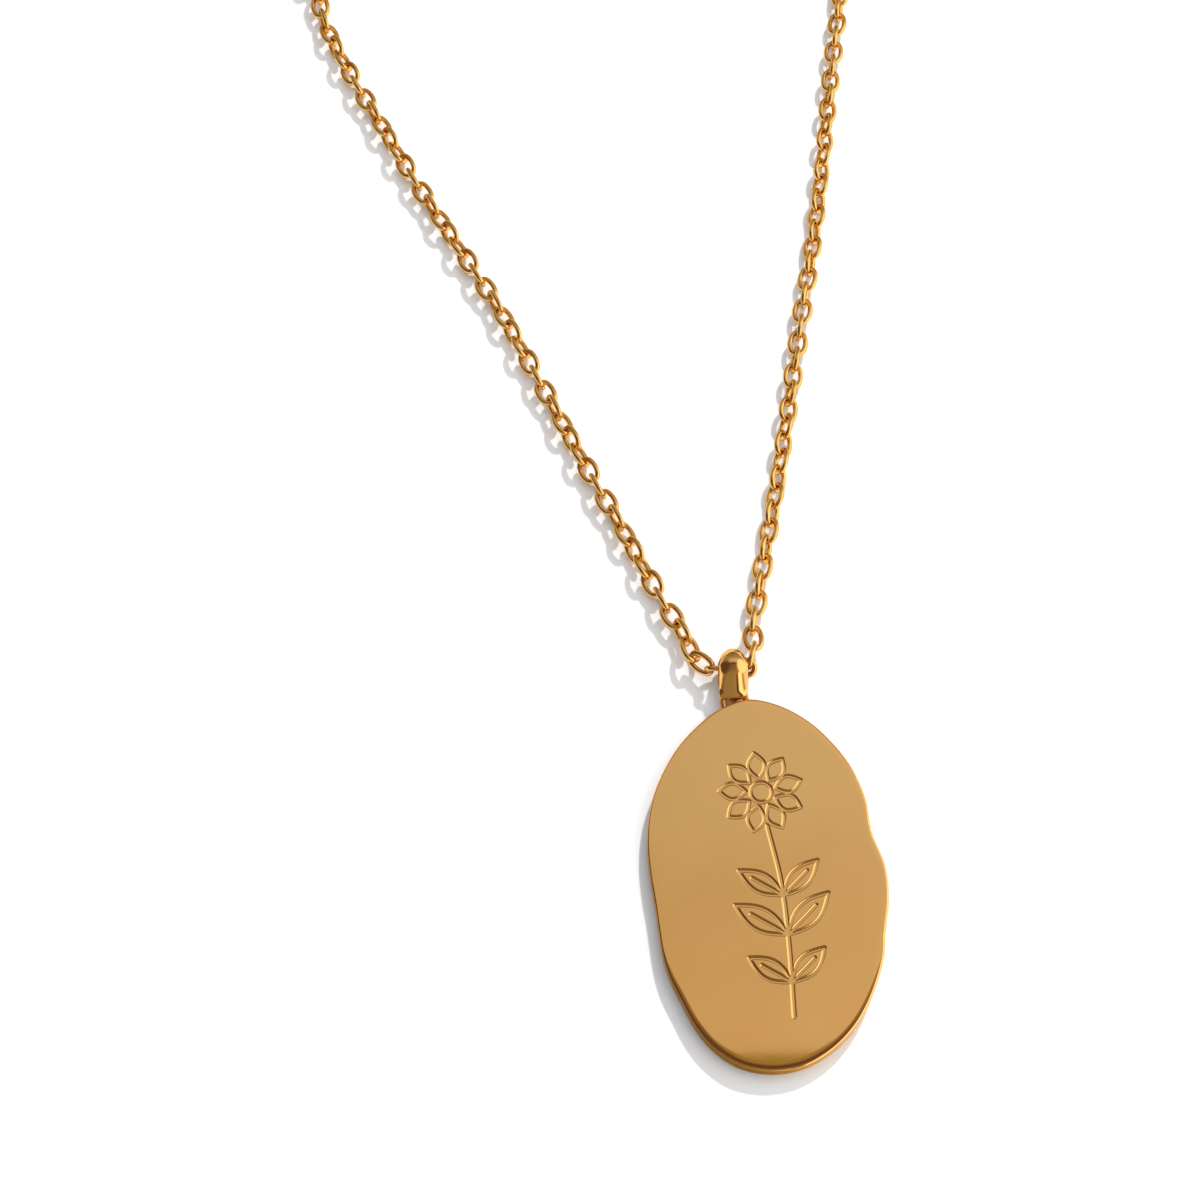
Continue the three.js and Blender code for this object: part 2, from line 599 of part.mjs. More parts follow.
const drop = addMesh("end_drop", dropGeometry(), GOLD);
const loopCentre = along(ringEnd, DROP_LOOP_RADIUS - (DROP_RING_WIRE + DROP_LOOP_WIRE) / 2 - LINK_PLAY);
drop.position.copy(loopCentre).setZ(DROP_RADIUS);
drop.rotation.z = Math.atan2(heading.y, heading.x);
dropRing.position.setZ(DROP_RING_WIDTH / 2);

export default group;
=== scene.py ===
"""The looks of an engraved plate pendant on its cable chain, laid on a pale table."""
import math

import bpy
import numpy as np
from mathutils import Matrix, Vector
from mathutils.geometry import delaunay_2d_cdt


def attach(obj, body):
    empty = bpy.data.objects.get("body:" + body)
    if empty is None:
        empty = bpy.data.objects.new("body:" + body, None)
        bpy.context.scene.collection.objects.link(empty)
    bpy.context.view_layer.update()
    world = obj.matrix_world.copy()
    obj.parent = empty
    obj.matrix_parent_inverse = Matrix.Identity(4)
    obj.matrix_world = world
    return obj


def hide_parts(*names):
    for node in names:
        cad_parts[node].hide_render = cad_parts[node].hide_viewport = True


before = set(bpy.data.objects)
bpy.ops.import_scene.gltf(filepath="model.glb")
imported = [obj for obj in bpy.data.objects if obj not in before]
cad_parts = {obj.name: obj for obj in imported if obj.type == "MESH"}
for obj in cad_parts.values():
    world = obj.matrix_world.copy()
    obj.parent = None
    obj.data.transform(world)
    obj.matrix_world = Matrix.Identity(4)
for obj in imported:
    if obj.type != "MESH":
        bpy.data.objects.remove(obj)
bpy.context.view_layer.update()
MM = 0.001


def vec(*xyz):
    """A point in millimetres."""
    return np.array([*xyz, 0.0][:3], float)


def unit(v):
    return v / np.linalg.norm(v)


# ---------------------------------------------------------------- camera

CAMERA_AT = (-0.017676, -0.044579, 0.141915)
CAMERA_TURN = math.radians(8)
CAMERA_DROP = math.radians(64.5)


def add_camera():
    data = bpy.data.cameras.new("camera")
    data.lens = 66
    data.sensor_width = 36
    data.clip_start = 0.003
    camera = bpy.data.objects.new("camera", data)
    bpy.context.collection.objects.link(camera)
    level = math.cos(CAMERA_DROP)
    forward = Vector((math.sin(CAMERA_TURN) * level, math.cos(CAMERA_TURN) * level, -math.sin(CAMERA_DROP)))
    right = Vector((math.cos(CAMERA_TURN), -math.sin(CAMERA_TURN), 0))
    up = right.cross(forward)
    turn = Matrix((right, up, -forward)).transposed().to_4x4()
    camera.matrix_world = Matrix.Translation(CAMERA_AT) @ turn
    bpy.context.scene.camera = camera


add_camera()

# ---------------------------------------------------------------- materials


def new_material(name):
    material = bpy.data.materials.new(name)
    material.use_nodes = True
    tree = material.node_tree
    return material, tree, tree.nodes["Principled BSDF"]


def gold(name, colour, roughness, scratches=0.12, grain=0.0, tarnish=0.35, wave=0.0, scale=1.0, edge=(0.95, 0.72, 0.38), painted_shade_colour=None):
    """Polished gold plating: fine polishing lines, faint clouding toward a redder tone at random, and, if a painted
    shade colour is given, painted shade on the surfaces that face the lower left.
    """
    material, tree, shader = new_material(name)
    nodes, links = tree.nodes, tree.links
    shader.inputs["Metallic"].default_value = 1.0
    shader.inputs["Specular Tint"].default_value = (*edge, 1)
    place = nodes.new("ShaderNodeTexCoord")
    # clouding of the plating's colour
    cloud = nodes.new("ShaderNodeTexNoise")
    cloud.inputs["Scale"].default_value = 180 * scale
    cloud.inputs["Detail"].default_value = 4
    links.new(place.outputs["Object"], cloud.inputs["Vector"])
    tone = nodes.new("ShaderNodeValToRGB")
    tone.color_ramp.elements[0].position = 0.3
    tone.color_ramp.elements[1].position = 0.75
    deep = [colour[0] * (1 - 0.10 * tarnish), colour[1] * (1 - 0.2 * tarnish), colour[2] * (1 - 0.3 * tarnish), 1]
    tone.color_ramp.elements[0].color = deep
    tone.color_ramp.elements[1].color = (*colour, 1)
    links.new(cloud.outputs["Fac"], tone.inputs["Fac"])
    links.new(tone.outputs["Color"], shader.inputs["Base Color"])
    if painted_shade_colour:
        # painted shade: surfaces that face the lower left, away from the key light, are darkened toward a redder colour
        surface = nodes.new("ShaderNodeNewGeometry")
        turned = nodes.new("ShaderNodeVectorMath")
        turned.operation = "DOT_PRODUCT"
        turned.inputs[1].default_value = (-0.80, -0.60, 0.0)
        links.new(surface.outputs["Normal"], turned.inputs[0])
        amount = nodes.new("ShaderNodeMapRange")
        amount.interpolation_type = "SMOOTHSTEP"
        amount.inputs["From Min"].default_value = 0.30
        amount.inputs["From Max"].default_value = 0.85
        links.new(turned.outputs["Value"], amount.inputs["Value"])
        mix = nodes.new("ShaderNodeMix")
        mix.data_type = "RGBA"
        mix.inputs["B"].default_value = (*painted_shade_colour, 1)
        links.new(amount.outputs["Result"], mix.inputs["Factor"])
        links.new(tone.outputs["Color"], mix.inputs["A"])
        links.new(mix.outputs["Result"], shader.inputs["Base Color"])
    # roughness: small smudges and hairline polishing marks
    smudge = nodes.new("ShaderNodeTexNoise")
    smudge.inputs["Scale"].default_value = 420 * scale
    smudge.inputs["Detail"].default_value = 3
    links.new(place.outputs["Object"], smudge.inputs["Vector"])
    spread = nodes.new("ShaderNodeMapRange")
    spread.inputs["From Min"].default_value = 0.3
    spread.inputs["From Max"].default_value = 0.7
    spread.inputs["To Min"].default_value = roughness * 0.8
    spread.inputs["To Max"].default_value = roughness * 1.3
    links.new(smudge.outputs["Fac"], spread.inputs["Value"])
    links.new(spread.outputs["Result"], shader.inputs["Roughness"])
    stretch = nodes.new("ShaderNodeMapping")
    stretch.inputs["Rotation"].default_value = (0, 0, math.radians(17))
    stretch.inputs["Scale"].default_value = (900 * scale, 14000 * scale, 4000 * scale)
    links.new(place.outputs["Object"], stretch.inputs["Vector"])
    lines = nodes.new("ShaderNodeTexNoise")
    lines.inputs["Scale"].default_value = 1
    lines.inputs["Detail"].default_value = 2
    links.new(stretch.outputs["Vector"], lines.inputs["Vector"])
    bump = nodes.new("ShaderNodeBump")
    bump.inputs["Strength"].default_value = scratches
    bump.inputs["Distance"].default_value = 0.000004
    links.new(lines.outputs["Fac"], bump.inputs["Height"])
    last = bump
    if wave:
        swell = nodes.new("ShaderNodeTexNoise")
        swell.inputs["Scale"].default_value = 95
        swell.inputs["Detail"].default_value = 1
        links.new(place.outputs["Object"], swell.inputs["Vector"])
        soft = nodes.new("ShaderNodeBump")
        soft.inputs["Strength"].default_value = wave
        soft.inputs["Distance"].default_value = 0.00006
        links.new(swell.outputs["Fac"], soft.inputs["Height"])
        links.new(bump.outputs["Normal"], soft.inputs["Normal"])
        last = soft
    if grain:
        fine = nodes.new("ShaderNodeTexNoise")
        fine.inputs["Scale"].default_value = 6000
        links.new(place.outputs["Object"], fine.inputs["Vector"])
        rough = nodes.new("ShaderNodeBump")
        rough.inputs["Strength"].default_value = grain
        rough.inputs["Distance"].default_value = 0.00001
        links.new(fine.outputs["Fac"], rough.inputs["Height"])
        links.new(last.outputs["Normal"], rough.inputs["Normal"])
        last = rough
    links.new(last.outputs["Normal"], shader.inputs["Normal"])
    return material


GOLD = (0.90, 0.52, 0.185)
# the plate's edge gets painted shade on its lower left side
FACE_GOLD = gold("plate_gold", GOLD, 0.032, scratches=0.015, painted_shade_colour=(0.34, 0.15, 0.05))
BAIL_GOLD = gold("bail_gold", GOLD, 0.12, scratches=0.10)
CHAIN_GOLD = gold("chain_gold", (0.90, 0.56, 0.19), 0.15, scratches=0.2, tarnish=0.8, scale=2.5, edge=(0.72, 0.45, 0.18))
# the eye's gold is a darker, redder copy: painted shade for the gap between the bail and the plate
EYE_GOLD_PAINTED_SHADE = gold("eye_gold_painted_shade", (0.62, 0.30, 0.08), 0.25, scratches=0.2, edge=(0.5, 0.25, 0.08))
RING_GOLD = gold("ring_gold", (0.90, 0.52, 0.18), 0.15, scratches=0.15, scale=2)
CLASP_GOLD = gold("clasp_gold", (0.90, 0.52, 0.18), 0.16, scratches=0.15)
SPRING_STEEL = gold("spring_steel", (0.60, 0.60, 0.60), 0.24, scratches=0.3)


def floor_material():
    material, tree, shader = new_material("table_white")
    nodes, links = tree.nodes, tree.links
    shader.inputs["Roughness"].default_value = 0.85
    shader.inputs["Specular IOR Level"].default_value = 0.1
    noise = nodes.new("ShaderNodeTexNoise")
    noise.inputs["Scale"].default_value = 30
    ramp = nodes.new("ShaderNodeValToRGB")
    ramp.color_ramp.elements[0].color = (0.90, 0.90, 0.895, 1)
    ramp.color_ramp.elements[1].color = (0.93, 0.93, 0.93, 1)
    links.new(noise.outputs["Fac"], ramp.inputs["Fac"])
    links.new(ramp.outputs["Color"], shader.inputs["Base Color"])
    return material


# ---------------------------------------------------------------- mesh helpers


def add_piece(name, verts, faces, material, body, slot, replaces=(), smooth=True):
    """A mesh from points in millimetres, riding on a body."""
    mesh = bpy.data.meshes.new(name)
    mesh.from_pydata([tuple(v) for v in np.asarray(verts) * MM], [], [tuple(map(int, f)) for f in faces])
    mesh.polygons.foreach_set("use_smooth", [smooth] * len(mesh.polygons))
    mesh.materials.append(material)
    mesh.update()
    piece = bpy.data.objects.new(name, mesh)
    bpy.context.collection.objects.link(piece)
    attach(piece, body)
    if replaces:
        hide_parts(*replaces)
    return piece


def catmull(points, closed=False, per=16):
    """A centripetal Catmull-Rom curve through points."""
    p = [np.asarray(q, float) for q in points]
    count = len(p)
    spans = count if closed else count - 1
    out = []
    for i in range(spans):
        if closed:
            a, b, c, d = p[i - 1], p[i], p[(i + 1) % count], p[(i + 2) % count]
        else:
            b, c = p[i], p[i + 1]
            a = p[i - 1] if i > 0 else 2 * b - c
            d = p[i + 2] if i + 2 < count else 2 * c - b
        ta, tb, tc = (max(np.linalg.norm(y - x), 1e-9) ** 0.5 for x, y in ((a, b), (b, c), (c, d)))
        t1 = ((b - a) / ta - (c - a) / (ta + tb) + (c - b) / tb) * tb
        t2 = ((c - b) / tb - (d - b) / (tb + tc) + (d - c) / tc) * tb
        for k in range(per):
            t = k / per
            out.append(
                b + t1 * t + (-3 * b + 3 * c - 2 * t1 - t2) * t * t + (2 * b - 2 * c + t1 + t2) * t**3
            )
    if not closed:
        out.append(p[-1])
    return np.array(out)


def resample(line, step):
    """Points at even distances along a line, about a step apart, its two ends among them."""
    line = np.asarray(line)
    along = np.concatenate([[0], np.cumsum(np.linalg.norm(np.diff(line, axis=0), axis=1))])
    count = max(1, round(along[-1] / step))
    at = np.linspace(0, along[-1], count + 1)
    return np.stack([np.interp(at, along, line[:, k]) for k in range(3)], axis=1)


def wire_loop(centre_line, radius, sides=10, flat=1.0):
    """Points and faces of a closed wire bent along a closed line in its own XY plane."""
    line = np.asarray(centre_line)
    count = len(line)
    ahead = np.roll(line, -1, axis=0) - np.roll(line, 1, axis=0)
    ahead /= np.linalg.norm(ahead, axis=1)[:, None]
    out = np.stack([ahead[:, 1], -ahead[:, 0], np.zeros(count)], axis=1)
    verts = []
    for k in range(sides):
        angle = 2 * math.pi * k / sides
        verts.append(line + out * math.cos(angle) * radius + np.array([0, 0, math.sin(angle) * radius * flat]))
    verts = np.stack(verts, axis=1).reshape(-1, 3)
    faces = []
    for i in range(count):
        j = (i + 1) % count
        for k in range(sides):
            m = (k + 1) % sides
            faces.append((i * sides + k, j * sides + k, j * sides + m, i * sides + m))
    return verts, faces


def oval_link(length, width, wire, round_=28, sides=10):
    """A chain link: a ring of wire drawn out along X."""
    radius = (width - wire) / 2
    stretch = (length - width) / 2
    angle = np.linspace(0, 2 * math.pi, round_, endpoint=False)
    x = radius * np.cos(angle) + stretch * np.clip(1.4 * np.cos(angle), -1, 1)
    line = np.stack([x, radius * np.sin(angle), np.zeros(round_)], axis=1)
    return wire_loop(line, wire / 2, sides)


def link_axes(start, end, roll):
    """The three axes and middle of a link between two contacts. Roll 0 lays it flat."""
    along = unit(end - start)
    side = unit(np.cross([0, 0, 1], along))
    up = np.cross(along, side)
    across = side * math.cos(math.radians(roll)) + up * math.sin(math.radians(roll))
    return np.stack([along, across, np.cross(along, across)]), (start + end) / 2


def placed(verts, axes, middle):
    return verts @ axes + middle


# ---------------------------------------------------------------- chain

LINK_LENGTH = 2.16
LINK_WIDTH = 1.5
LINK_WIRE = 0.32
LINK_PLAY = 0.05
LINK_PITCH = LINK_LENGTH - 2 * LINK_WIRE - LINK_PLAY
CHAIN_Z = 0.78
CROSSING_Z = CHAIN_Z + LINK_WIDTH + 0.16
COIL_START = 6.4
COIL_PITCH = 1.575
COIL_TURNS = 2
COIL_OUTER = COIL_START + COIL_TURNS * COIL_PITCH + LINK_WIDTH / 2
CHORD = 5.8
FACE_GAP = 0.05

# the links as they look: their wire fills the play that the CAD links leave
DRAWN_WIRE = 0.385
DRAWN_LENGTH = LINK_PITCH + 2 * DRAWN_WIRE
DRAWN_WIDTH = 1.56
LINK = oval_link(DRAWN_LENGTH, DRAWN_WIDTH, DRAWN_WIRE)


def node_points(name):
    """The corners of a CAD node, in millimetres."""
    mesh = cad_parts[name].data
    points = np.empty(len(mesh.vertices) * 3)
    mesh.vertices.foreach_get("co", points)
    return points.reshape(-1, 3) / MM


def node_axes(name):
    """Long, middle and thin direction of a flat CAD ring, and its middle."""
    points = np.unique(node_points(name).round(4), axis=0)
    middle = (points.max(axis=0) + points.min(axis=0)) / 2
    spread, axes = np.linalg.eigh(np.cov((points - points.mean(axis=0)).T))
    axes = axes.T[::-1]
    middle = points.mean(axis=0)
    if np.linalg.det(axes) < 0:
        axes[2] *= -1
    return axes, middle


LEFT_ROUTE = [
    (-4.6, 23.4, CHAIN_Z), (-6.0, 27.7, CHAIN_Z), (-7.95, 33.4, CHAIN_Z), (-10.0, 39.8, CHAIN_Z),
    (-12.4, 47.1, CHAIN_Z), (-15.1, 53.9, CHAIN_Z), (-17.3, 59.3, CHAIN_Z), (-19.6, 65.6, CHAIN_Z),
    (-21.9, 72.0, CHAIN_Z), (-23.4, 77.6, CHAIN_Z),
]
RIGHT_ROUTE = [
    (3.7, 23.4, CHAIN_Z), (5.2, 27.8, CHAIN_Z), (6.75, 32.6, CHAIN_Z), (8.7, 38.9, CHAIN_Z),
    (10.3, 44.1, CHAIN_Z), (12.1, 49.7, CHAIN_Z), (14.2, 57.0, CHAIN_Z), (16.5, 65.6, CHAIN_Z),
    (18.7, 73.4, CHAIN_Z), (19.2, 75.5, CHAIN_Z),
]
LEFT_COIL = vec(-23.4 - CHORD, 92.3)
RIGHT_COIL = vec(19.2 + CHORD, 88.6)


def strand_path(side, sign, route, coil, extra):
    """The whole line of a strand: from its last single link, over its coil, round it and out."""
    axes, middle = node_axes(f"{side}_link_3")
    ahead = axes[0] if axes[0][1] > 0 else -axes[0]
    start = middle + ahead * LINK_PITCH / 2
    chord = coil[0] + sign * CHORD
    over = [
        (chord + sign * 0.05, coil[1] - 11.3, 1.25), (chord + sign * 0.1, coil[1] - 9.6, 2.25),
        (chord + sign * 0.15, coil[1] - 7.9, CROSSING_Z), (chord + sign * 0.2, coil[1] - 6.1, CROSSING_Z),
        (chord + sign * 0.35, coil[1] - 4.2, CROSSING_Z), (chord + sign * 0.6, coil[1] - 2.1, 1.6),
    ]
    turns = []
    steps = COIL_TURNS * 18
    for i in range(steps + 1):
        angle = 2 * math.pi * COIL_TURNS * i / steps
        radius = COIL_START + COIL_PITCH * COIL_TURNS * i / steps
        turns.append((coil[0] + sign * radius * math.cos(angle), coil[1] + radius * math.sin(angle), CHAIN_Z))
    end_link, end_middle = node_axes(f"{side}_end_link")
    out = end_link[0] if end_link[0][1] > 0 else -end_link[0]
    end = end_middle - out * LINK_PITCH / 2
    line = catmull([start, *extra, *route, *over, *turns, end], per=24)
    return line


def add_strand(side, sign, route, coil, extra, first_roll, twist):
    """A strand's links, joined in one piece, and its path."""
    line = strand_path(side, sign, route, coil, extra)
    contacts = resample(line, LINK_PITCH)
    verts, faces = [], []
    base, base_faces = LINK
    for i, (start, end) in enumerate(zip(contacts, contacts[1:])):
        last = i == len(contacts) - 2
        roll = first_roll + twist * i if not last else 0
        axes, middle = link_axes(start, end, roll)
        faces += [tuple(k + len(base) * i for k in face) for face in base_faces]
        verts.append(placed(base, axes, middle))
    chain = add_piece(
        f"{side}_chain_links", np.concatenate(verts), faces, CHAIN_GOLD, f"{side}_chain", "gold",
        (f"{side}_strand", f"{side}_coil", f"{side}_tail"),
    )
    length = float(np.sum(np.linalg.norm(np.diff(contacts, axis=0), axis=1)))
    return chain, contacts, length


def add_single_link(name, body, length=DRAWN_LENGTH, width=DRAWN_WIDTH, wire=DRAWN_WIRE, slot="gold"):
    """A finely rounded link in the place of a CAD link."""
    axes, middle = node_axes(name)
    base, faces = oval_link(length, width, wire, 40, 14)
    return add_piece(f"{name}_fine", placed(base, axes, middle), faces, CHAIN_GOLD, body, slot, (name,))


def add_ring(name, body, width, wire, split=None):
    """A round jump ring in the place of a CAD ring."""
    axes, middle = node_axes(name)
    angle = np.linspace(0, 2 * math.pi, 64, endpoint=False)
    radius = (width - wire) / 2
    line = np.stack([radius * np.cos(angle), radius * np.sin(angle), 0 * angle], axis=1)
    base, faces = wire_loop(line, wire / 2, 16)
    return add_piece(f"{name}_fine", placed(base, axes, middle), faces, RING_GOLD, body, "gold_dark", (name,))


left_chain, left_contacts, left_length = add_strand("left", 1, LEFT_ROUTE, LEFT_COIL, [(-3.75, 20.9, CHAIN_Z)], 0, -103)
right_chain, right_contacts, right_length = add_strand("right", -1, RIGHT_ROUTE, RIGHT_COIL, [(2.86, 20.8, CHAIN_Z)], -10, -95)

for side in ("left", "right"):
    add_single_link(f"bail_link_{side}", f"bail_link_{side}")
    for i in (1, 2, 3):
        add_single_link(f"{side}_link_{i}", f"{side}_link_{i}")

left_end = add_single_link("left_end_link", "left_chain")
right_end = add_single_link("right_end_link", "right_chain")
clasp_ring = add_ring("clasp_ring", "clasp_ring", 3.6, 0.5)
extender_ring = add_ring("extender_ring", "extender_ring", 3.6, 0.5)

# ---------------------------------------------------------------- extender

EXTENDER_LINK = (3.1, 2.4, 0.5)
EXTENDER_PITCH = 3.1 - 2 * 0.5 - LINK_PLAY
EXTENDER_RADIUS = 13.6


def add_extender():
    """The extender's links along its arc, from the first link to the three free ones."""
    first_axes, first = node_axes("extender_first_link")
    last_axes, last = node_axes("extender_link_1")
    angle_from = math.atan2(first[1] - RIGHT_COIL[1], first[0] - RIGHT_COIL[0])
    angle_to = math.atan2(last[1] - RIGHT_COIL[1], last[0] - RIGHT_COIL[0])
    trim = EXTENDER_PITCH / 2 / EXTENDER_RADIUS
    angles = np.linspace(angle_from - trim, angle_to + trim, 60)
    line = np.stack(
        [
            RIGHT_COIL[0] + EXTENDER_RADIUS * np.cos(angles),
            RIGHT_COIL[1] + EXTENDER_RADIUS * np.sin(angles),
            np.full(len(angles), 1.2),
        ],
        axis=1,
    )
    contacts = resample(line, EXTENDER_PITCH)
    base, base_faces = oval_link(*EXTENDER_LINK, 32, 12)
    verts, faces = [], []
    for i, (start, end) in enumerate(zip(contacts, contacts[1:])):
        roll = 0 if i % 2 == 0 else 90
        axes, middle = link_axes(start, end, roll)
        faces += [tuple(k + len(base) * i for k in face) for face in base_faces]
        verts.append(placed(base, axes, middle))
    piece = add_piece(
        "extender_links", np.concatenate(verts), faces, CHAIN_GOLD, "extender", "gold", ("extender_chain",)
    )
    length = float(np.sum(np.linalg.norm(np.diff(contacts, axis=0), axis=1)))
    return piece, contacts, length


extender, extender_contacts, extender_length = add_extender()
first_link = add_single_link("extender_first_link", "extender", *EXTENDER_LINK)
free_links = [add_single_link(f"extender_link_{i}", f"extender_link_{i}", *EXTENDER_LINK) for i in (1, 2, 3)]
drop_ring = add_ring("drop_ring", "drop_ring", 2.6, 0.44)


def refined(name, body, voxel, smooth, material):
    """A CAD node's shape, remeshed finely and smoothed, in its place."""
    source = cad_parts[name]
    piece = bpy.data.objects.new(f"{name}_fine", source.data.copy())
    bpy.context.collection.objects.link(piece)
    remesh = piece.modifiers.new("remesh", "REMESH")
    remesh.mode = "VOXEL"
    remesh.voxel_size = voxel * MM
    soften = piece.modifiers.new("soften", "CORRECTIVE_SMOOTH" if False else "SMOOTH")
    soften.factor = 0.5
    soften.iterations = smooth
    graph = bpy.context.evaluated_depsgraph_get()
    graph.update()
    mesh = bpy.data.meshes.new_from_object(piece.evaluated_get(graph))
    piece.modifiers.clear()
    piece.data = mesh
    mesh.materials.clear()
    mesh.materials.append(material)
    mesh.polygons.foreach_set("use_smooth", [True] * len(mesh.polygons))
    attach(piece, body)
    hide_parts(name)
    return piece


end_drop = refined("end_drop", "end_drop", 0.07, 8, CLASP_GOLD)
clasp_body = refined("clasp_body", "clasp", 0.07, 5, CLASP_GOLD)
clasp_lever = refined("clasp_lever", "clasp_lever", 0.05, 3, CLASP_GOLD)
clasp_pin = refined("clasp_pin", "clasp", 0.04, 2, SPRING_STEEL)
clasp_spring = refined("clasp_spring", "clasp", 0.03, 2, SPRING_STEEL)
plate_eye = refined("plate_eye", "pendant", 0.04, 4, EYE_GOLD_PAINTED_SHADE)

# ---------------------------------------------------------------- plate

PLATE_THICKNESS = 1.2
PLATE_EDGE_ROUND = 0.16
PLATE_WIDTH = 15.8
PLATE_HEIGHT = 25.9
PLATE_OUTLINE = [
    (0.08, 1.0), (-0.19, 0.958), (-0.41, 0.873), (-0.595, 0.77), (-0.74, 0.655), (-0.86, 0.525),
    (-0.935, 0.395), (-0.98, 0.255), (-0.995, 0.1), (-0.992, -0.06), (-0.995, -0.2), (-0.993, -0.33),
    (-0.962, -0.455), (-0.9, -0.575), (-0.82, -0.715), (-0.69, -0.845), (-0.5, -0.945), (-0.25, -0.995),
    (0.02, -0.99), (0.27, -0.93), (0.47, -0.84), (0.62, -0.735), (0.755, -0.6), (0.845, -0.475),
    (0.873, -0.4), (0.91, -0.325), (0.962, -0.22), (0.995, -0.1), (0.995, 0.0), (0.965, 0.09),
    (0.943, 0.16), (0.942, 0.235), (0.95, 0.33), (0.925, 0.44), (0.865, 0.565), (0.76, 0.69),
    (0.62, 0.81), (0.44, 0.91), (0.25, 0.975),
]

# the engraving: a plain daisy on a stem with paired leaves, in millimetres from the plate's middle
LINE_HALF_WIDTH = 0.155
STEM_HALF_WIDTH = 0.19
BLOOM = vec(0.5, 6.0)[:2]
BLOOM_HEART = 0.72
PETALS = 9
PETAL_GAP = 0.3
PETAL_LENGTH = 1.85
PETAL_WIDTH = 1.15
STEM = [(0.5, 3.6), (0.75, -0.5), (0.5, -5.0), (0.0, -9.6)]
# each pair of leaves: its height on the plate, its length and its width
LEAF_PAIRS = [(-1.2, 3.4, 1.3), (-4.2, 4.0, 1.5), (-7.2, 3.2, 1.3)]
LEAF_RISE = math.radians(38)
RIB_SHARE = 0.7
GROOVE_DEPTH = 0.047
FLAT_SHARE = 0.36
FACE_FALL = 0.012
FALL_WIDTH = 0.42


def inside_polygon(points, polygon):
    x, y = points[:, 0], points[:, 1]
    inside = np.zeros(len(points), bool)
    ax, ay = polygon[:, 0], polygon[:, 1]
    bx, by = np.roll(ax, -1), np.roll(ay, -1)
    for x0, y0, x1, y1 in zip(ax, ay, bx, by):
        crosses = (y0 > y) != (y1 > y)
        with np.errstate(divide="ignore", invalid="ignore"):
            at = (x1 - x0) * (y - y0) / (y1 - y0) + x0
        inside ^= crosses & (x < at)
    return inside


def distance_to_line(points, line):
    """Distance of each point from a polyline, all in the XY plane."""
    best = np.full(len(points), 1e9)
    for a, b in zip(line, line[1:]):
        ab = b - a
        t = np.clip(((points - a) @ ab) / (ab @ ab), 0, 1)
        best = np.minimum(best, np.hypot(*(points - a - t[:, None] * ab).T))
    return best


def pointed_oval(root, angle, length, width):
    """A petal's or leaf's outline: from its root out to its tip and back."""
    share = np.linspace(0, 1, 15)
    side = width / 2 * np.sin(math.pi * share)
    out = np.column_stack([length * share, side])
    back = np.column_stack([length * share, -side])[::-1]
    turn = np.array([[math.cos(angle), math.sin(angle)], [-math.sin(angle), math.cos(angle)]])
    return np.concatenate([out, back[1:]]) @ turn + root


def stroke_lines():
    """Each engraved line's half width and its points."""
    angle = np.linspace(0, 2 * math.pi, 25)
    yield LINE_HALF_WIDTH, BLOOM + BLOOM_HEART * np.column_stack([np.cos(angle), np.sin(angle)])
    for k in range(PETALS):
        a = math.pi / 2 + 2 * math.pi * k / PETALS
        root = BLOOM + (BLOOM_HEART + PETAL_GAP) * np.array([math.cos(a), math.sin(a)])
        yield LINE_HALF_WIDTH, pointed_oval(root, a, PETAL_LENGTH, PETAL_WIDTH)
    stem = catmull([(*p, 0) for p in STEM], per=10)[:, :2]
    yield STEM_HALF_WIDTH, stem
    for height, length, width in LEAF_PAIRS:
        root = stem[np.argmin(np.abs(stem[:, 1] - height))]
        for a in (LEAF_RISE, math.pi - LEAF_RISE):
            yield LINE_HALF_WIDTH, pointed_oval(root, a, length, width)
            rib_end = root + RIB_SHARE * length * np.array([math.cos(a), math.sin(a)])
            yield LINE_HALF_WIDTH, np.array([root, rib_end])


def groove_shares(points):
    """How deep the engraving is at each point, from 0 to 1, and the distance to the nearest stroke."""
    depth = np.zeros(len(points))
    near = np.full(len(points), 9.0)
    for half, line in stroke_lines():
        low, high = line.min(axis=0) - 1.2, line.max(axis=0) + 1.2
        some = np.flatnonzero(np.all((points > low) & (points < high), axis=1))
        if not len(some):
            continue
        gap = distance_to_line(points[some], line)
        near[some] = np.minimum(near[some], gap - half)
        share = np.clip((1 - gap / half) / (1 - FLAT_SHARE), 0, 1)
        cut = share * share * (3 - 2 * share) * (half / 0.2) ** 0.5
        depth[some] = np.maximum(depth[some], cut)
    return depth, near


def plate_outline(count=720):
    curve = catmull([(x * PLATE_WIDTH / 2, y * PLATE_HEIGHT / 2, 0) for x, y in PLATE_OUTLINE], True, 24)
    curve = np.concatenate([curve, curve[:1]])
    line = resample(curve, 70 / count)[:-1]
    return line[:, :2]


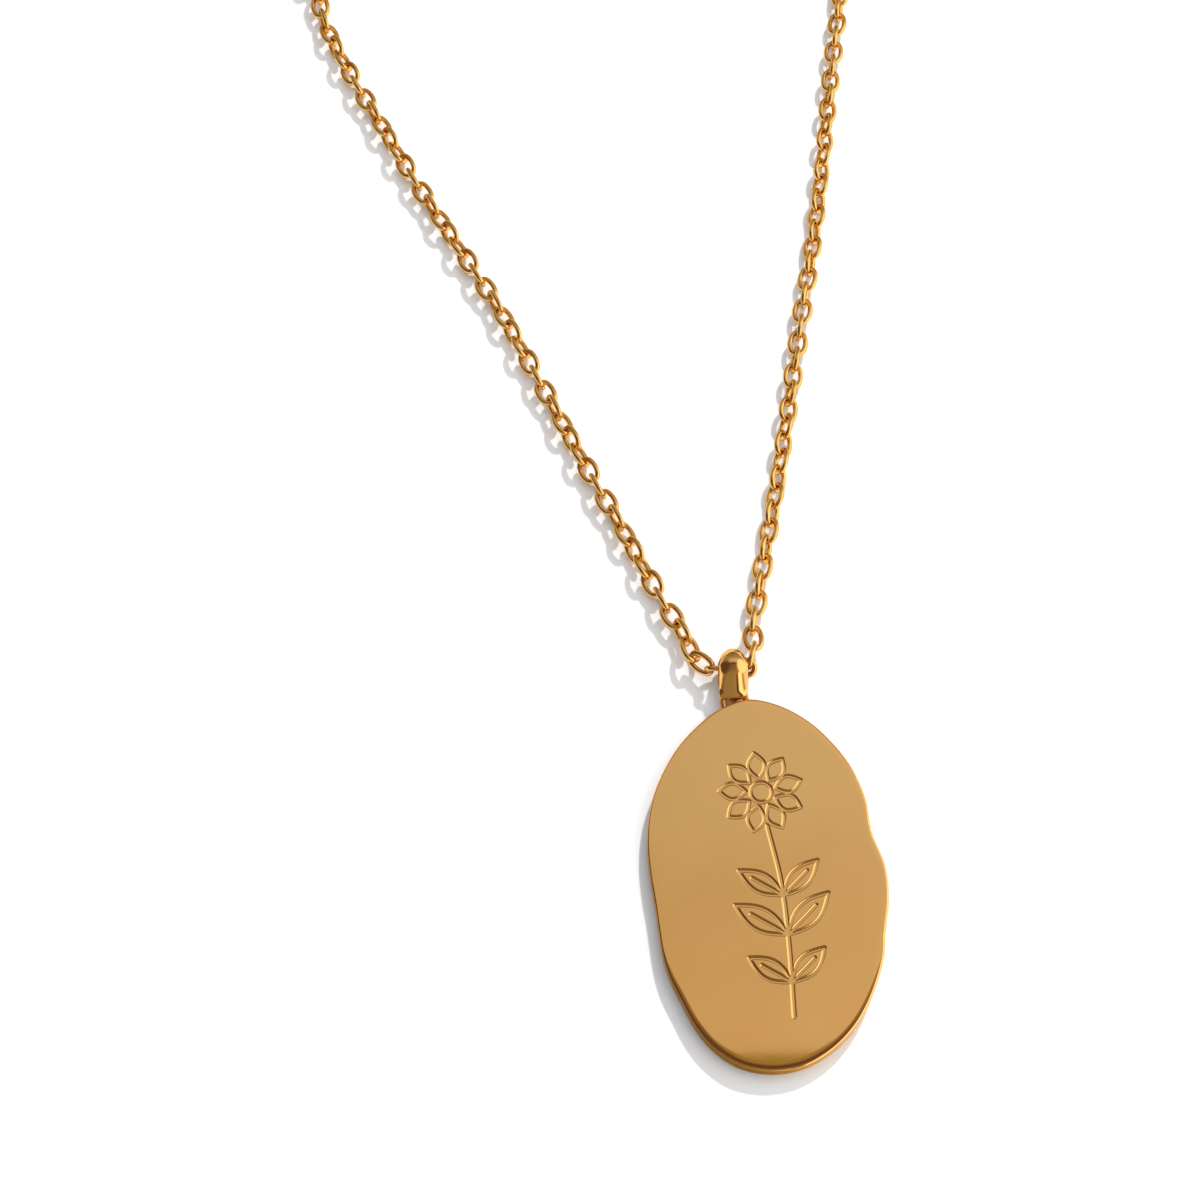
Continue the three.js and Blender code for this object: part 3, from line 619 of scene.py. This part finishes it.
def plate_mesh():
    outline = plate_outline()
    count = len(outline)
    ahead = np.roll(outline, -1, axis=0) - np.roll(outline, 1, axis=0)
    ahead /= np.linalg.norm(ahead, axis=1)[:, None]
    inward = np.stack([-ahead[:, 1], ahead[:, 0]], axis=1)
    # from the middle of the back, round the edge, to the start of the face
    profile = [(2.5, 0.0), (1.0, 0.0)]
    r = PLATE_EDGE_ROUND
    for k in range(7):
        a = math.pi / 2 * k / 6
        profile.append((r - r * math.sin(a), r - r * math.cos(a)))
    profile += [(0.0, 0.45), (0.0, 0.75)]
    top = PLATE_THICKNESS - FACE_FALL
    for k in range(9):
        a = math.pi / 2 * k / 8 * 0.94
        profile.append((r - r * math.cos(a), top - r + r * math.sin(a)))
    for d in (0.19, 0.23, 0.27, 0.32, 0.37, 0.42, 0.6):
        fall = FACE_FALL * max(0, 1 - (d - 0.16) / (FALL_WIDTH - 0.16)) ** 2
        profile.append((d, PLATE_THICKNESS - fall))
    verts, faces = [], []
    for d, z in profile:
        ring = outline + inward * d
        verts.append(np.column_stack([ring, np.full(count, z)]))
    for i in range(len(profile) - 1):
        for k in range(count):
            m = (k + 1) % count
            a, b = i * count, (i + 1) * count
            faces.append((a + k, a + m, b + m, b + k))
    # back: one flat face
    faces.append(tuple(range(count - 1, -1, -1)))
    face_ring = outline + inward * profile[-1][0]
    # face: fine grid along the strokes, coarse elsewhere
    low, high = face_ring.min(axis=0), face_ring.max(axis=0)

    def grid(step, shift):
        xs = np.arange(low[0] + shift, high[0], step)
        ys = np.arange(low[1] + shift, high[1], step)
        gx, gy = np.meshgrid(xs, ys)
        gx = gx + (np.arange(len(ys)) % 2)[:, None] * step / 2
        return np.column_stack([gx.ravel(), gy.ravel()])

    kept = []
    for step, shift, near_low, near_high in ((0.9, 0.35, 0.75, 99), (0.24, 0.11, 0.14, 0.75), (FINE_STEP, 0.03, -9, 0.14)):
        points = grid(step, shift)
        _, near = groove_shares(points)
        points = points[(near > near_low) & (near <= near_high)]
        inner = face_ring + inward * min(0.25, step * 0.6)
        kept.append(points[inside_polygon(points, inner)])
    points = np.concatenate(kept)
    total = [Vector(p) for p in face_ring] + [Vector(p) for p in points]
    edges = [(k, (k + 1) % count) for k in range(count)]
    made, _, triangles, *_ = delaunay_2d_cdt(total, edges, [], 1, 1e-6)
    made = np.array([tuple(p) for p in made])
    depth, _ = groove_shares(made)
    z = PLATE_THICKNESS - GROOVE_DEPTH * depth
    base = (len(profile) - 1) * count
    offset = len(profile) * count - count
    all_verts = np.concatenate(verts)
    assert np.allclose(made[:count], face_ring, atol=1e-4)
    inner_verts = np.column_stack([made[count:], z[count:]])
    all_verts = np.concatenate([all_verts, inner_verts])
    for tri in triangles:
        a, b, c = (base + k for k in tri)
        p, q, s = (made[k] for k in tri)
        if (q[0] - p[0]) * (s[1] - p[1]) - (q[1] - p[1]) * (s[0] - p[0]) < 0:
            a, c = c, a
        faces.append((a, b, c))
    return all_verts, faces


FINE_STEP = 0.045
plate = add_piece("engraved_plate", *plate_mesh(), FACE_GOLD, "pendant", "gold", ("plate",))

# ---------------------------------------------------------------- bail

BAIL_WIDTH = 2.0
BAIL_TOP_RADIUS = 1.3
BAIL_WALL = 0.46
BAIL_FOOT_RADIUS = 0.58
BAIL_FOOT_WALL = 0.29
BAIL_SPAN = 1.82
BAIL_NECK = 0.62
BAIL_TILT = math.radians(24)
BAIL_LEAN = math.radians(-7)
EYE_CENTRE = vec(-0.1, PLATE_HEIGHT / 2 + 0.72, PLATE_THICKNESS / 2)


def bail_loop(inner, steps):
    """The bail's outer or inner outline in its own YZ plane: over the top from back to front, then the foot."""
    foot = BAIL_FOOT_RADIUS - BAIL_FOOT_WALL * inner
    top = BAIL_TOP_RADIUS - BAIL_WALL * inner
    spread = math.asin((top - foot) / BAIL_SPAN)
    line = []
    for k in range(steps):
        a = -math.pi / 2 - spread + (math.pi + 2 * spread) * k / (steps - 1)
        line.append((BAIL_SPAN + top * math.cos(a), top * math.sin(a)))
    front, back = math.pi / 2 + spread, 3 * math.pi / 2 - spread
    start, end = np.array(line[-1]), np.array([foot * math.cos(front), foot * math.sin(front)])
    for k in range(1, steps // 3):
        line.append(tuple(start + (end - start) * k / (steps // 3)))
    for k in range(steps):
        a = front + (back - front) * k / (steps - 1)
        line.append((foot * math.cos(a), foot * math.sin(a)))
    start, end = np.array(line[-1]), np.array(line[0])
    for k in range(1, steps // 3):
        line.append(tuple(start + (end - start) * k / (steps // 3)))
    return np.array(line)


def smooth_step(x, low, high):
    t = np.clip((x - low) / (high - low), 0, 1)
    return t * t * (3 - 2 * t)


def bail_mesh():
    """A half-round band bent to a loop, narrowed at its top, and at its foot to pass between the eye's legs."""
    outer, inner = bail_loop(0, 72), bail_loop(1, 72)
    half = BAIL_WIDTH / 2 * (1 - 0.2 * smooth_step(outer[:, 0], BAIL_SPAN + 0.2, BAIL_SPAN + BAIL_TOP_RADIUS))
    low = np.where(outer[:, 1] > 0, -0.42, 0.3)
    narrow = smooth_step(-outer[:, 0], -low - 0.09, -low + 0.09)
    raised = 0.62 * smooth_step(-outer[:, 0], -0.25, 0.1) * (outer[:, 1] > 0)
    half = half * (1 - narrow) + BAIL_NECK / 2 * narrow
    across, sides = [], 21
    for k in range(sides):
        u = math.sin(math.pi * (k / (sides - 1) - 0.5))
        across.append((u, 0.06 + 1.08 * (1 - abs(u) ** 2.0) ** 0.8))
    for k in range(1, sides - 1):
        u = -math.sin(math.pi * (k / (sides - 1) - 0.5))
        across.append((u, 0.06 - 0.06 * (1 - abs(u) ** 4) ** 0.5))
    ring = len(across)
    verts = []
    for (yo, zo), (yi, zi), h, lift in zip(outer, inner, half, raised):
        for u, share in across:
            share = share * (1 - lift) + lift * (1.0 - 0.48 * (1 - share / 1.14) ** 2)
            verts.append((u * h, yi + (yo - yi) * share, zi + (zo - zi) * share))
    count = len(outer)
    faces = []
    for i in range(count):
        j = (i + 1) % count
        for k in range(ring):
            m = (k + 1) % ring
            faces.append((i * ring + k, i * ring + m, j * ring + m, j * ring + k))
    turn = Matrix.Rotation(BAIL_LEAN, 3, "Z") @ Matrix.Rotation(BAIL_TILT, 3, "X")
    return np.array(verts) @ np.array(turn).T + EYE_CENTRE, faces


bail = add_piece("bail_band", *bail_mesh(), BAIL_GOLD, "bail", "gold", ("bail",))

# ---------------------------------------------------------------- floor, light


def add_floor():
    mesh = bpy.data.meshes.new("table")
    half = 1.5
    mesh.from_pydata([(-half, -half, 0), (half, -half, 0), (half, half, 0), (-half, half, 0)], [], [(0, 1, 2, 3)])
    mesh.materials.append(floor_material())
    table = bpy.data.objects.new("table", mesh)
    table.location = (0, 0.02, -0.00004)
    bpy.context.collection.objects.link(table)


add_floor()


def add_world():
    """Studio surroundings, by direction: a pale panel overhead and behind, a bright one to the right,
    and darkness to the left and in front."""
    world = bpy.data.worlds.new("studio")
    bpy.context.scene.world = world
    world.use_nodes = True
    nodes, links = world.node_tree.nodes, world.node_tree.links
    place = nodes.new("ShaderNodeTexCoord").outputs["Generated"]

    def along(x, y, z):
        dot = nodes.new("ShaderNodeVectorMath")
        dot.operation = "DOT_PRODUCT"
        dot.inputs[1].default_value = (x, y, z)
        links.new(place, dot.inputs[0])
        return dot.outputs["Value"]

    def ease(value, low, high):
        spread = nodes.new("ShaderNodeMapRange")
        spread.interpolation_type = "SMOOTHSTEP"
        spread.inputs["From Min"].default_value = low
        spread.inputs["From Max"].default_value = high
        links.new(value, spread.inputs["Value"])
        return spread.outputs["Result"]

    def times(a, b):
        product = nodes.new("ShaderNodeMath")
        product.operation = "MULTIPLY"
        links.new(a, product.inputs[0])
        links.new(b, product.inputs[1])
        return product.outputs["Value"]

    def mixed(weight, below, above):
        mix = nodes.new("ShaderNodeMix")
        mix.data_type = "RGBA"
        links.new(weight, mix.inputs["Factor"])
        for socket, value in ((mix.inputs["A"], below), (mix.inputs["B"], above)):
            if isinstance(value, tuple):
                socket.default_value = (*value, 1)
            else:
                links.new(value, socket)
        return mix.outputs["Result"]

    def ramp(value, stops):
        made = nodes.new("ShaderNodeValToRGB")
        elements = made.color_ramp.elements
        elements[0].position, elements[0].color = stops[0][0], (*stops[0][1], 1)
        elements[1].position, elements[1].color = stops[-1][0], (*stops[-1][1], 1)
        for position, colour in stops[1:-1]:
            elements.new(position).color = (*colour, 1)
        links.new(value, made.inputs["Fac"])
        return made.outputs["Color"]

    turn = CAMERA_TURN
    ahead = along(math.sin(turn), math.cos(turn), 0)
    aside = along(math.cos(turn), -math.sin(turn), 0)
    # in front, from overhead (0) down to the horizon (1)
    front = ramp(
        ease_line(nodes, links, ahead, BAND_EDGE, -1.0),
        [
            (0.0, (0.36, 0.33, 0.11)), (0.0022, (0.42, 0.38, 0.15)), (0.0038, (0.33, 0.29, 0.10)),
            (0.006, (0.36, 0.31, 0.13)), (0.03, (0.27, 0.20, 0.14)), (0.07, (0.15, 0.09, 0.10)),
            (0.14, (0.12, 0.07, 0.05)), (0.28, (0.26, 0.20, 0.13)), (0.55, (0.24, 0.20, 0.13)),
            (0.8, (0.36, 0.32, 0.20)), (1.0, (0.36, 0.32, 0.22)),
        ],
    )
    behind = ramp(
        ease_line(nodes, links, ahead, BAND_EDGE, 1.0),
        [
            (0.0, (0.69, 0.65, 0.58)), (0.09, (0.64, 0.62, 0.58)), (0.18, (0.68, 0.71, 0.75)),
            (0.35, (0.72, 0.70, 0.66)), (0.6, (0.42, 0.38, 0.32)), (1.0, (0.25, 0.21, 0.17)),
        ],
    )
    colour = mixed(ease(ahead, BAND_EDGE - 0.0007, BAND_EDGE + 0.0007), front, behind)
    brighter = nodes.new("ShaderNodeMapRange")
    brighter.inputs["From Min"].default_value = 0.0
    brighter.inputs["From Max"].default_value = 0.16
    brighter.inputs["To Min"].default_value = 0.96
    brighter.inputs["To Max"].default_value = 1.08
    links.new(aside, brighter.inputs["Value"])
    left = ease(along(-0.88, 0.10, 0.46), 0.62, 0.92)
    colour = mixed(left, colour, (0.12, 0.085, 0.06))
    right = ease(along(0.86, -0.12, 0.49), 0.70, 0.90)
    colour = mixed(right, colour, (1.5, 1.42, 1.3))
    # low in front: a dark upright, then a bright one beside it
    low = ease(along(0, 0, -1), -0.6, -0.42)
    facing = times(low, ease(ahead_turned(nodes, links, ahead), 0.3, 0.5))
    colour = mixed(times(facing, between(nodes, links, aside, 0.28, 0.33, 0.42, 0.46)), colour, (0.07, 0.02, 0.015))
    colour = mixed(times(facing, between(nodes, links, aside, 0.46, 0.50, 0.68, 0.80)), colour, (1.7, 1.6, 1.4))
    background = nodes["Background"]
    links.new(colour, background.inputs["Color"])
    links.new(brighter.outputs["Result"], background.inputs["Strength"])


def ahead_turned(nodes, links, ahead):
    """The same direction, from behind to in front."""
    flip = nodes.new("ShaderNodeMath")
    flip.operation = "MULTIPLY"
    flip.inputs[1].default_value = -1
    links.new(ahead, flip.inputs[0])
    return flip.outputs["Value"]


def between(nodes, links, value, start, full, still, end):
    """1 where the value is inside a range, 0 outside it."""
    rise, fall = nodes.new("ShaderNodeMapRange"), nodes.new("ShaderNodeMapRange")
    for node, low, high in ((rise, start, full), (fall, end, still)):
        node.inputs["From Min"].default_value = low
        node.inputs["From Max"].default_value = high
        links.new(value, node.inputs["Value"])
    least = nodes.new("ShaderNodeMath")
    least.operation = "MINIMUM"
    links.new(rise.outputs["Result"], least.inputs[0])
    links.new(fall.outputs["Result"], least.inputs[1])
    return least.outputs["Value"]


def ease_line(nodes, links, value, low, high):
    """A value spread evenly from 0 to 1."""
    spread = nodes.new("ShaderNodeMapRange")
    spread.inputs["From Min"].default_value = low
    spread.inputs["From Max"].default_value = high
    links.new(value, spread.inputs["Value"])
    return spread.outputs["Result"]


BAND_EDGE = 0.2385
add_world()


KEY_POWER = 7.0
FILL_POWER = 7.5


def add_light(name, location, target, size, power, colour=(1, 1, 1), glossy=True, shape="RECTANGLE", size_y=None):
    data = bpy.data.lights.new(name, "AREA")
    data.energy = power
    data.color = colour
    data.shape = shape
    data.size = size
    if shape == "RECTANGLE":
        data.size_y = size_y or size
    light = bpy.data.objects.new(name, data)
    light.location = location
    direction = Vector(target) - Vector(location)
    light.rotation_euler = direction.to_track_quat("-Z", "Y").to_euler()
    light.visible_glossy = glossy
    bpy.context.collection.objects.link(light)


# the key light casts the shadow to the lower left; neither light shows in the metal
add_light("key", (0.40, 0.66, 0.62), (0, 0.02, 0), 0.05, KEY_POWER, glossy=False)
add_light("fill", (-0.1, 0.0, 1.2), (0, 0.02, 0), 1.6, FILL_POWER, colour=(0.86, 0.98, 1.15), glossy=False)

bpy.context.scene.view_settings.view_transform = "Standard"
